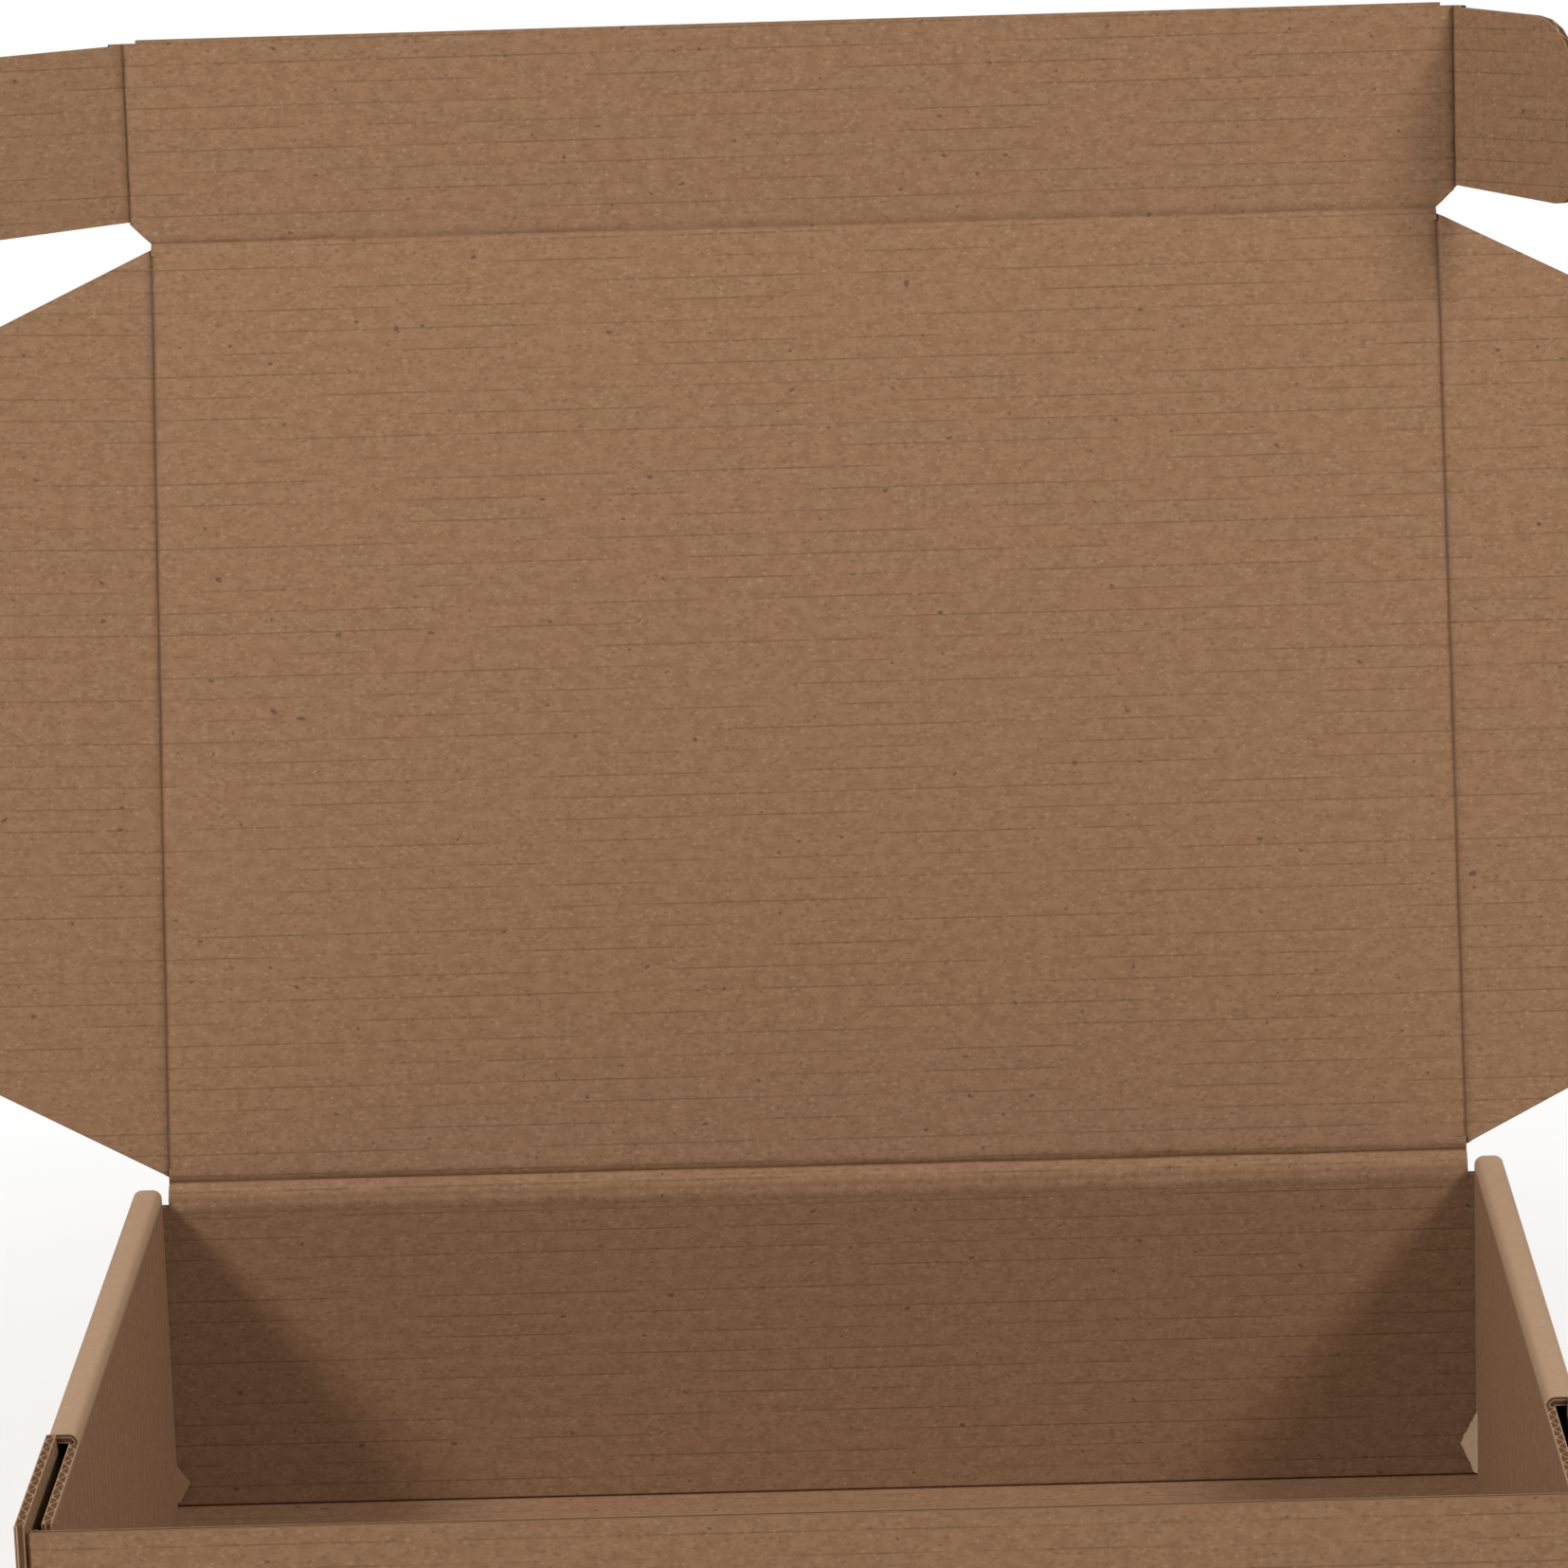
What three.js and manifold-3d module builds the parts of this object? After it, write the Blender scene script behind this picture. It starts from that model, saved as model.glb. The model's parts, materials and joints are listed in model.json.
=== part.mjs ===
// An open corrugated mailer: a shallow tray with rolled double side walls and a lid that folds up from
// the back wall, with a tuck flap on the lid's front edge. Millimetres, +X right, +Y back, +Z up.
// The origin is the middle of the tray's underside.
import * as THREE from 'three';
import { mergeVertices } from 'three/addons/utils/BufferGeometryUtils.js';
import Module from 'manifold-3d';

const wasm = await Module();
wasm.setup();

// Board
const BOARD = 2.6; // thickness of the corrugated board
const CREASE_GAP = 0.3; // air left at every fold and between layers that touch
const FOLD_RADIUS = 2.2; // outside radius of the tray's bottom folds

// Tray
const INNER_WIDTH = 383; // between the two inner side panels
const INNER_DEPTH = 280; // from front wall to back wall, inside
const SIDE_HEIGHT = 101; // underside of the base to the top of the side ledges
const BACK_DROP = 5.6; // how far the back wall's top edge lies under the ledges
const FRONT_DROP = 2; // how far the front wall's top edge lies under the ledges
const LEDGE_RADIUS = 1.1; // outside rounding of the ledges
const MOUTH_ROOM = 8; // open length of each ledge at the front beyond the ear that slides in there
const PANEL_BACK_GAP = 0.6; // between each inner side panel and the back wall
const PANEL_CORNER_HEIGHT = 9; // bevel at the lower back corner of each inner side panel
const PANEL_CORNER_DEPTH = 4;
const TAB_LENGTH = 42; // locking tabs under the inner side panels
const TAB_SPREAD = 74; // each tab's middle from the tray's middle
const BACK_FLAP_LENGTH = 72; // corner flaps of the back wall, inside the double walls
const BACK_FLAP_DROP = 7.4; // how far their top edges lie under the back wall's
const FRONT_FLAP_LENGTH = 58; // corner flaps of the front wall, which the ears pass over
const FRONT_FLAP_ROOM = 8; // between them and the ears of the closed box

// Lid
const LEDGE_ROOM = 0.5; // between the ledges and the closed lid
const BAND_LEAN = 47; // degrees back from upright
const LID_SIDE_ROOM = 1.8; // between a side flap's fold and the inner side panel
const LID_LEAN = 17.8; // degrees back from upright
const LID_FRONT_ROOM = 2.5; // between the closed lid's fold and the front wall
const LID_FLAP_WIDTH = 75; // side flaps of the lid
const LID_FLAP_BEVEL = 27; // degrees, both ends of a side flap
const LID_FLAP_START = 1.9; // from a crease to the end of a side flap's fold
const LEFT_FLAP_FOLD = 12; // degrees forward from the lid
const RIGHT_FLAP_FOLD = 0;

// Tuck flap
const TUCK_HEIGHT = 60;
const TUCK_ROOM = 1.4; // between the closed tuck flap and the inner side panels
const TUCK_FOLD = 13; // degrees forward from the lid
const EAR_LENGTH = 54;
const EAR_FLARE = 4.5; // degrees that the lower edge of an ear opens out
const EAR_CORNER = 16;
const LEFT_EAR_FOLD = 20; // degrees forward from the tuck flap
const RIGHT_EAR_FOLD = 55;

// Sizes that follow from those above
const LAYER = BOARD + 2 * CREASE_GAP; // room for one board between two others
const HALF_INNER = INNER_WIDTH / 2;
const SLOT_IN = HALF_INNER + BOARD; // inner side of the space in a double wall
const SLOT_OUT = SLOT_IN + LAYER;
const HALF_OUTER = SLOT_OUT + BOARD;
const EAR_X = SLOT_IN + LAYER / 2; // the ears' folds line up with that space
const BACK_IN = INNER_DEPTH / 2;
const BACK_OUT = BACK_IN + BOARD;
const CUT = BOARD / 2 + CREASE_GAP; // from a fold's axis to the board that starts square there
const BACK_TOP = SIDE_HEIGHT - BACK_DROP;
const HINGE_Z = BACK_TOP + CUT;
const HINGE_Y = BACK_IN + BOARD / 2;
const BAND_LENGTH = BACK_DROP - CREASE_GAP + LEDGE_ROOM; // stands upright when the lid is closed
const LID_WIDTH = INNER_WIDTH - 2 * LID_SIDE_ROOM;
const LID_LENGTH = INNER_DEPTH - LID_FRONT_ROOM;
const TUCKED_Y = -BACK_IN + LID_FRONT_ROOM + BOARD; // inner face of the closed tuck flap
const TUCKED_Z = HINGE_Z + BAND_LENGTH - TUCK_HEIGHT; // its lower edge
const PANEL_FRONT = TUCKED_Y + TUCK_ROOM;
const LEDGE_FRONT = TUCKED_Y + EAR_LENGTH + MOUTH_ROOM;
const rad = THREE.MathUtils.degToRad;

function solid(geometry) {
  geometry.deleteAttribute('normal');
  geometry.deleteAttribute('uv');
  const g = mergeVertices(geometry, 1e-5);
  return new wasm.Manifold(new wasm.Mesh({
    numProp: 3,
    vertProperties: new Float32Array(g.attributes.position.array),
    triVerts: new Uint32Array(g.index.array),
  }));
}

function block(x0, x1, y0, y1, z0, z1) {
  const g = new THREE.BoxGeometry(x1 - x0, y1 - y0, z1 - z0);
  return solid(g.translate((x0 + x1) / 2, (y0 + y1) / 2, (z0 + z1) / 2));
}

function join(...parts) {
  return parts.reduce((all, part) => all.add(part));
}

function mirrored(part) {
  const m = new THREE.Matrix4().makeScale(-1, 1, 1);
  return join(part, part.transform(m.elements));
}

// A closed outline through corners, each [a, b] or [a, b, rounding].
function outline(corners) {
  const shape = new THREE.Shape();
  corners.forEach(([a, b, rounding = 0], i) => {
    const here = new THREE.Vector2(a, b);
    const towards = ([x, y]) => new THREE.Vector2(x, y).sub(here).setLength(rounding).add(here);
    const start = towards(corners.at(i - 1));
    const end = towards(corners[(i + 1) % corners.length]);
    if (i) shape.lineTo(start.x, start.y);
    else shape.moveTo(start.x, start.y);
    if (rounding) shape.quadraticCurveTo(a, b, end.x, end.y);
  });
  shape.closePath();
  return shape;
}

function drawnOut(corners, depth) {
  return new THREE.ExtrudeGeometry(outline(corners), { depth, bevelEnabled: false, curveSegments: 5 });
}

// A board lying in the local XZ plane, its thickness centred on y = 0.
function board(corners) {
  return solid(drawnOut(corners, BOARD).translate(0, 0, -BOARD / 2).rotateX(Math.PI / 2));
}

// The round edge of a board along a fold, between two points of the local XZ plane.
function nose(x0, z0, x1, z1) {
  const from = new THREE.Vector3(x0, 0, z0);
  const along = new THREE.Vector3(x1, 0, z1).sub(from);
  const g = new THREE.CylinderGeometry(BOARD / 2, BOARD / 2, along.length(), 20);
  const up = new THREE.Vector3(0, 1, 0);
  g.applyQuaternion(new THREE.Quaternion().setFromUnitVectors(up, along.clone().normalize()));
  const middle = from.addScaledVector(along, 0.5);
  return solid(g.translate(middle.x, middle.y, middle.z));
}

// A section in the XZ plane drawn out along Y.
function alongY(corners, y0, y1) {
  return solid(drawnOut(corners, y1 - y0).rotateX(Math.PI / 2).translate(0, y1, 0));
}

// A section in the YZ plane drawn out along X.
function alongX(corners, x0, x1) {
  const turn = new THREE.Matrix4().makeBasis(
    new THREE.Vector3(0, 1, 0), new THREE.Vector3(0, 0, 1), new THREE.Vector3(1, 0, 0));
  return solid(drawnOut(corners, x1 - x0).applyMatrix4(turn).translate(x0, 0, 0));
}

// Base with the front and back walls: one sheet bent up at both ends.
function baseAndEnds() {
  const half = SLOT_OUT - CREASE_GAP;
  const frontTop = SIDE_HEIGHT - FRONT_DROP;
  return alongX([
    [-BACK_OUT, 0, FOLD_RADIUS], [BACK_OUT, 0, FOLD_RADIUS], [BACK_OUT, BACK_TOP], [BACK_IN, BACK_TOP],
    [BACK_IN, BOARD], [-BACK_IN, BOARD], [-BACK_IN, frontTop], [-BACK_OUT, frontTop],
  ], -half, half);
}

// One rolled double side wall: outer panel up, ledge across, inner panel down.
function sideWall() {
  const hook = alongY([
    [HALF_INNER, BOARD + CREASE_GAP], [SLOT_IN, BOARD + CREASE_GAP], [SLOT_IN, SIDE_HEIGHT - BOARD],
    [SLOT_OUT, SIDE_HEIGHT - BOARD], [SLOT_OUT, BOARD], [EAR_X, BOARD], [EAR_X, 0],
    [HALF_OUTER, 0, FOLD_RADIUS], [HALF_OUTER, SIDE_HEIGHT, LEDGE_RADIUS],
    [HALF_INNER, SIDE_HEIGHT, LEDGE_RADIUS],
  ], -BACK_OUT, BACK_OUT);
  const panelBack = BACK_IN - PANEL_BACK_GAP;
  const past = BOARD; // how far the cuts run out past the board
  const x0 = HALF_INNER - past;
  const top = SIDE_HEIGHT + past;
  const backRoom = block(x0, SLOT_OUT, panelBack, BACK_OUT + past, BOARD, top);
  const frontRoom = block(x0, SLOT_OUT, -BACK_OUT - past, PANEL_FRONT, BOARD, top);
  const mouth = block(x0, SLOT_OUT, -BACK_OUT - past, LEDGE_FRONT, SIDE_HEIGHT - BOARD, top);
  const corner = alongX([
    [panelBack - PANEL_CORNER_DEPTH, BOARD], [panelBack + past, BOARD],
    [panelBack + past, BOARD + PANEL_CORNER_HEIGHT], [panelBack, BOARD + PANEL_CORNER_HEIGHT],
  ], x0, SLOT_IN + CREASE_GAP);
  return hook.subtract(backRoom).subtract(frontRoom).subtract(mouth).subtract(corner);
}

// A corner flap of the front or back wall, folded into the double wall.
function cornerFlap(y0, y1, height) {
  return block(EAR_X - BOARD / 2, EAR_X + BOARD / 2, y0, y1, BOARD + CREASE_GAP, height);
}

// A locking tab under an inner side panel, or with room around it the slot in the base that takes it.
function lockingTab(y, z0, room) {
  const half = TAB_LENGTH / 2 + room;
  return block(HALF_INNER - room, SLOT_IN + room, y - half, y + half, z0, BOARD + 2 * CREASE_GAP);
}

function tray() {
  const tabs = [-TAB_SPREAD, TAB_SPREAD].map((y) => lockingTab(y, CREASE_GAP, 0));
  const slots = [-TAB_SPREAD, TAB_SPREAD].map((y) => lockingTab(y, -BOARD, CREASE_GAP));
  const flaps = [
    cornerFlap(BACK_IN - BACK_FLAP_LENGTH, BACK_OUT - CREASE_GAP, BACK_TOP - BACK_FLAP_DROP),
    cornerFlap(-BACK_OUT + CREASE_GAP, -BACK_IN + FRONT_FLAP_LENGTH, TUCKED_Z - FRONT_FLAP_ROOM),
  ];
  const slotted = slots.reduce((sheet, slot) => sheet.subtract(mirrored(slot)), baseAndEnds());
  return join(slotted, mirrored(join(sideWall(), ...tabs, ...flaps)));
}

// The narrow band between the back wall's crease and the lid's crease.
function hingeBand() {
  const half = LID_WIDTH / 2;
  const strip = board([[-half, 0], [half, 0], [half, BAND_LENGTH], [-half, BAND_LENGTH]]);
  return join(strip, nose(-half, 0, half, 0), nose(-half, BAND_LENGTH, half, BAND_LENGTH));
}

function lidPanel() {
  const half = LID_WIDTH / 2;
  const low = LID_FLAP_START;
  const high = LID_LENGTH - LID_FLAP_START;
  const sheet = board([
    [-half, CUT], [half, CUT], [half, LID_LENGTH - CUT], [-half, LID_LENGTH - CUT],
  ]);
  return join(sheet, nose(-half, low, -half, high), nose(half, low, half, high));
}

// A side flap of the lid, drawn on the right.
function lidFlap() {
  const slope = Math.tan(rad(LID_FLAP_BEVEL));
  const low = LID_FLAP_START;
  const high = LID_LENGTH - LID_FLAP_START;
  const end = LID_FLAP_WIDTH;
  return board([
    [CUT, low + CUT * slope], [end, low + end * slope, 6], [end, high - end * slope, 6],
    [CUT, high - CUT * slope],
  ]);
}

function tuckFlap() {
  const half = LID_WIDTH / 2;
  const wide = EAR_X - half; // the notch beside the fold runs out at 45 degrees
  const sheet = board([
    [-half, 0], [half, 0], [half + wide, wide], [half + wide, TUCK_HEIGHT],
    [-half - wide, TUCK_HEIGHT], [-half - wide, wide],
  ]);
  const low = wide + 0.4;
  return join(sheet, nose(-half, 0, half, 0), nose(-EAR_X, low, -EAR_X, TUCK_HEIGHT - 1),
    nose(EAR_X, low, EAR_X, TUCK_HEIGHT - 1));
}

// An ear of the tuck flap, drawn on the right.
function ear() {
  const low = EAR_X - LID_WIDTH / 2 + 0.6;
  const drop = Math.tan(rad(EAR_FLARE));
  const end = EAR_LENGTH;
  return board([
    [CUT, low - CUT * drop], [end, low - end * drop, 8], [end, TUCK_HEIGHT - 4, EAR_CORNER],
    [CUT, TUCK_HEIGHT - 1.5],
  ]);
}

function frame(parent, x, y, z, axis, degrees) {
  const turn = new THREE.Matrix4().makeRotationAxis(axis, rad(degrees));
  return parent.clone().multiply(new THREE.Matrix4().makeTranslation(x, y, z)).multiply(turn);
}

const X = new THREE.Vector3(1, 0, 0);
const Z = new THREE.Vector3(0, 0, 1);
const atBand = frame(new THREE.Matrix4(), 0, HINGE_Y, HINGE_Z, X, -BAND_LEAN);
const atLid = frame(atBand, 0, 0, BAND_LENGTH, X, BAND_LEAN - LID_LEAN);
const atTuck = frame(atLid, 0, 0, LID_LENGTH, X, TUCK_FOLD);
const flip = new THREE.Matrix4().makeScale(-1, 1, 1);

function surface(part) {
  const mesh = part.getMesh();
  const g = new THREE.BufferGeometry();
  g.setAttribute('position', new THREE.BufferAttribute(new Float32Array(mesh.vertProperties), 3));
  g.setIndex(new THREE.BufferAttribute(new Uint32Array(mesh.triVerts), 1));
  const flat = g.toNonIndexed();
  flat.computeVertexNormals();
  return flat;
}

const group = new THREE.Group();
function add(name, part, matrix, colour) {
  const placed = matrix ? part.transform(matrix.elements) : part;
  const look = new THREE.MeshStandardMaterial({ color: colour, roughness: 0.9, metalness: 0 });
  const mesh = new THREE.Mesh(surface(placed), look);
  mesh.name = name;
  group.add(mesh);
}

const KRAFT = '#8f6f55';
add('tray', tray(), null, KRAFT);
add('hinge_band', hingeBand(), atBand, KRAFT);
add('lid_panel', lidPanel(), atLid, KRAFT);
const half = LID_WIDTH / 2;
add('right_lid_flap', lidFlap(), frame(atLid, half, 0, 0, Z, -RIGHT_FLAP_FOLD), KRAFT);
add('left_lid_flap', lidFlap().transform(flip.elements), frame(atLid, -half, 0, 0, Z, LEFT_FLAP_FOLD), KRAFT);
add('tuck_flap', tuckFlap(), atTuck, KRAFT);
add('right_tuck_ear', ear(), frame(atTuck, EAR_X, 0, 0, Z, -RIGHT_EAR_FOLD), KRAFT);
add('left_tuck_ear', ear().transform(flip.elements), frame(atTuck, -EAR_X, 0, 0, Z, LEFT_EAR_FOLD), KRAFT);

export default group;
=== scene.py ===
import json
import math

import bmesh
import bpy
from mathutils import Matrix, Vector


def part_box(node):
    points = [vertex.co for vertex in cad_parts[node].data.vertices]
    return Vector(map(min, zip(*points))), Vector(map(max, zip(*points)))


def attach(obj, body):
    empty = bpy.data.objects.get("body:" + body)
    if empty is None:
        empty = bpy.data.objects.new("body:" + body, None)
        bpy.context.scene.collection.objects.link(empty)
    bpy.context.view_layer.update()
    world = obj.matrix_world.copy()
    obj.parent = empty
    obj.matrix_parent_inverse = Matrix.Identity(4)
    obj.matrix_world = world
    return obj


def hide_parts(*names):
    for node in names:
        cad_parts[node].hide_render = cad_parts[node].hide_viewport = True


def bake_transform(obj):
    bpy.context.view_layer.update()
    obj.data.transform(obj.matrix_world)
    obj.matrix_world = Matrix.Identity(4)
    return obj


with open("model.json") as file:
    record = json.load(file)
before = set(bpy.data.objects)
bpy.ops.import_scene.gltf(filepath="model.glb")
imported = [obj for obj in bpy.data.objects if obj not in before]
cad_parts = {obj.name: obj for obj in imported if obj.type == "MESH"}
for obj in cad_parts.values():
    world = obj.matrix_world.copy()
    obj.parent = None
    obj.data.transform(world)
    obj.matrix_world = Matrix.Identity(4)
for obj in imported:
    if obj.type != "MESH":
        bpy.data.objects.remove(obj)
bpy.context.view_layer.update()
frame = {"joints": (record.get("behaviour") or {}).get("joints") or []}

bl_info = {
    "name": "Corrugated Mailer",
    "version": (1, 0, 0),
    "blender": (4, 5, 0),
    "location": "3D View > Sidebar > Mailer",
    "description": "An open corrugated mailer, folded from flat blanks on its CAD frame",
    "category": "Add Mesh",
}

MM = 0.001
FOLD_LINES = {j["name"]: (Vector(j["pos_m"]), Vector(j["axis"])) for j in frame["joints"]}
ACROSS = Vector((1, 0, 0))

# Places in metres from the middle of the tray's underside.
TRAY_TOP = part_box("tray")[1]
HALF_BOARD = 1.3 * MM
SIDE_MID = TRAY_TOP.x - HALF_BOARD  # middle of the outer side panel's board
PANEL_MID = SIDE_MID - 5.8 * MM  # middle of the inner side panel's board
END_MID = TRAY_TOP.y - HALF_BOARD  # middle of the front and back walls' board
FLAP_FOLD = FOLD_LINES["right_flap_crease"][0].x
EAR_FOLD = FOLD_LINES["right_ear_crease"][0].x

# The tray's blank: heights over its underside, and places and lengths in the flat.
FRONT_TOP, BACK_TOP = 99 * MM, 95.4 * MM
END_WALL_HALF = 196.9 * MM  # half the width of the front and back walls
FRONT_FLAP_TOP, BACK_FLAP_TOP = 34.8 * MM, 88 * MM  # of the corner flaps in the side walls
FRONT_FLAP_LENGTH, BACK_FLAP_LENGTH = 57.9 * MM, 71.9 * MM
SLIT = 0.4 * MM  # a die's cut between two panels
PANEL_FRONT, PANEL_BACK = -133.5 * MM, 139.4 * MM  # ends of the inner side panels
LEDGE_FRONT = -72.9 * MM  # end of the ledges, where the mouths for the ears start
CORNER_IN, CORNER_UP = 4 * MM, 9 * MM  # bevel of an inner panel's lower back corner
TAB_MID, TAB_HALF = 74 * MM, 21 * MM  # the locking tabs, before and behind the middle
TAB_ROOM = 0.3 * MM  # round a tab in its slot

# The lid's flaps and ears, measured from their folds.
FLAP_WIDTH, FLAP_START = 75 * MM, 1.9 * MM  # a side flap, and where its bevels start
FLAP_BEVEL = math.radians(27)
FLAP_CORNER = 6 * MM
FLAP_ANGLES = (("left", -1, 12), ("right", 1, 0))  # side, its sign on X, and degrees folded up
TUCK_HEIGHT = 60 * MM
EAR_LENGTH, EAR_TOP = 54 * MM, 59 * MM
EAR_FOOT, EAR_FALL = 6.6 * MM, math.tan(math.radians(4.5))  # the lower edge at the fold, its slope
EAR_END_DROP, EAR_TOP_FALL = 3 * MM, 2.5 / 52.4  # the upper edge at the far end, its slope
EAR_CORNER, EAR_LOW_CORNER = 16 * MM, 8 * MM
EAR_ANGLES = (("left", -1, 20), ("right", 1, 55))

# How the boards are cut into faces.
SIDE_ROWS, LEDGE_ROWS = 3, 4  # rows in a square fold and in a ledge's
GUARD = 1.6 * MM  # from a fold to the row that keeps its shading off the flat board
CREASE_STEP = 0.9 * MM  # between the rows of a score line
LIP_ROW = 2.2  # steps from a score line to the top of its lip
CREASE_COLUMNS = 24
CREASE_WAVER = 0.22 * MM
PAPER = 0.5 * MM  # thickness of a loose scrap of liner
NEAR = 0.1 * MM  # room for rounding where points are told apart by place
SHEET_FACE = 0.5  # a blank's flat faces have a normal steeper than this, its cut edges a flatter one


def linear(code):
    """An sRGB hex colour as linear red, green, blue and 1."""
    values = [int(code[i:i + 2], 16) / 255 for i in (1, 3, 5)]
    return [v / 12.92 if v <= 0.04045 else ((v + 0.055) / 1.055) ** 2.4 for v in values] + [1.0]


class BoardSizes(bpy.types.PropertyGroup):
    thickness: bpy.props.FloatProperty(
        name="Board thickness", description="Over both liners of the corrugated board",
        default=2.6 * MM, unit="LENGTH")
    flute_pitch: bpy.props.FloatProperty(
        name="Flute pitch", description="From one flute's crest to the next",
        default=6.37 * MM, unit="LENGTH")
    bend_radius: bpy.props.FloatProperty(
        name="Bend radius", description="Of the middle of the board in the tray's square folds",
        default=1.4 * MM, unit="LENGTH")
    crease_reach: bpy.props.FloatProperty(
        name="Crease reach", description="From a crease's line to the flat board beside it",
        default=4 * MM, unit="LENGTH")
    crease_depth: bpy.props.FloatProperty(
        name="Crease depth", description="How deep a score line is pressed into the inner liner",
        default=0.8 * MM, unit="LENGTH")
    crease_lip: bpy.props.FloatProperty(
        name="Crease lip", description="How far the liner swells beside a score line",
        default=0.22 * MM, unit="LENGTH")


class BoardColours(bpy.types.PropertyGroup):
    kraft: bpy.props.FloatVectorProperty(
        name="Kraft", description="Unbleached kraft liner", subtype="COLOR", size=4,
        default=linear("#8F6E53"))
    kraft_dark: bpy.props.FloatVectorProperty(
        name="Dark kraft", description="Dark side of the liner's mottle", subtype="COLOR", size=4,
        default=linear("#86654A"))
    fleck_dark: bpy.props.FloatVectorProperty(
        name="Dark fleck", description="Bark and shive in the liner", subtype="COLOR", size=4,
        default=linear("#57402C"))
    fleck_light: bpy.props.FloatVectorProperty(
        name="Light fleck", description="Bleached fibres in the liner", subtype="COLOR", size=4,
        default=linear("#B2977A"))
    # Painted shade in the shallow grooves where the liner sinks between two flutes.
    flute_groove_shade: bpy.props.FloatVectorProperty(
        name="Flute line", description="Where the liner sinks between two flutes",
        subtype="COLOR", size=4, default=linear("#75593F"))
    # Painted shade: the dark colour at the bottom of score lines, in the tray's inner corners between
    # base and end walls, and in the hollows of the cut edges.
    crease: bpy.props.FloatVectorProperty(
        name="Crease", description="Bottom of a score line", subtype="COLOR", size=4,
        default=linear("#5C4029"))
    # Also the colour of the painted highlight along the tops of the tray's ledges.
    torn: bpy.props.FloatVectorProperty(
        name="Torn paper", description="Fibres where the liner is torn", subtype="COLOR", size=4,
        default=linear("#BFA387"))
    floor: bpy.props.FloatVectorProperty(
        name="Floor", description="Studio floor", subtype="COLOR", size=4,
        default=linear("#F4F3F1"))


def start_blank(name, x0, x1, y0, y1):
    """A flat board's middle sheet in the local XY plane, its flutes along X, left in edit mode."""
    bpy.ops.object.select_all(action="DESELECT")
    bpy.ops.mesh.primitive_plane_add(size=1, location=((x0 + x1) / 2, (y0 + y1) / 2, 0))
    piece = bpy.context.object
    piece.name = piece.data.name = name
    piece.scale = (x1 - x0, y1 - y0, 1)
    bpy.ops.object.transform_apply(location=True, rotation=False, scale=True)
    bpy.ops.object.mode_set(mode="EDIT")
    return piece


def score(point, normal, **options):
    """A cut line through the whole blank; clear_outer takes off what lies beyond it."""
    bpy.ops.mesh.select_mode(type="VERT")
    bpy.ops.mesh.select_all(action="SELECT")
    bpy.ops.mesh.bisect(plane_co=(*point, 0), plane_no=(*normal, 0), threshold=1e-7, **options)


def score_rows(xs=(), ys=()):
    for x in xs:
        score((x, 0), (1, 0))
    for y in ys:
        score((0, y), (0, 1))


def select_faces(piece, test):
    """Selects the faces whose middle passes a test on its x and y."""
    bpy.ops.mesh.select_mode(type="FACE")
    bpy.ops.mesh.select_all(action="DESELECT")
    mesh = bmesh.from_edit_mesh(piece.data)
    for face in mesh.faces:
        middle = face.calc_center_median()
        face.select_set(test(middle.x, middle.y))
    bmesh.update_edit_mesh(piece.data)


def remove_faces(piece, test):
    select_faces(piece, test)
    bpy.ops.mesh.delete(type="FACE")


def select_points(piece, test):
    """Selects the points for which test(index, place) holds."""
    bpy.ops.mesh.select_mode(type="VERT")
    bpy.ops.mesh.select_all(action="DESELECT")
    mesh = bmesh.from_edit_mesh(piece.data)
    for vert in mesh.verts:
        vert.select_set(test(vert.index, vert.co))
    mesh.select_flush_mode()
    bmesh.update_edit_mesh(piece.data)


def round_corners(piece, corners, radius):
    """Rounds the blank's outline at corners, each an (x, y)."""
    reach = 0.1 * NEAR
    select_points(piece, lambda i, co: any((co.xy - Vector(c)).length < reach for c in corners))
    bpy.ops.mesh.bevel(offset=radius, offset_pct=0, segments=5, affect="VERTICES")


def make_board(piece, thickness, scored=None):
    """Gives the sheet its thickness and a UV map in metres: along and across the flutes on the
    liners, and through and across them on the cut edges, which get the second material slot.
    scored(place) says how far a liner is pressed in, from 0 to 1, which sets its painted shade, or
    below 0 its painted highlight. Returns the flat place of each point."""
    bpy.ops.object.mode_set(mode="OBJECT")
    wall = piece.modifiers.new("board", "SOLIDIFY")
    wall.thickness = thickness
    wall.offset = 0
    bpy.ops.object.modifier_apply(modifier="board")
    mesh = piece.data
    layer = mesh.uv_layers.active or mesh.uv_layers.new(name="flutes")
    layer.name = "flutes"
    for face in mesh.polygons:
        edge = abs(face.normal.z) < SHEET_FACE
        face.material_index = int(edge)
        for loop in face.loop_indices:
            place = mesh.vertices[mesh.loops[loop].vertex_index].co
            layer.data[loop].uv = (place.z if edge else place.x, place.y)
    # The crease attribute holds each point's share of painted shade, or below 0 its share of painted
    # highlight.
    pressed = mesh.attributes.new("crease", "FLOAT", "POINT")
    for vert, value in zip(mesh.vertices, pressed.data):
        value.value = scored(vert.co) if scored else 0
    return [vert.co.copy() for vert in mesh.vertices]


def turn(angle, axis, centre):
    """Turns what is selected about an axis, right-handed."""
    bpy.ops.transform.rotate(value=-angle, orient_axis=axis, center_override=centre)


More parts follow.
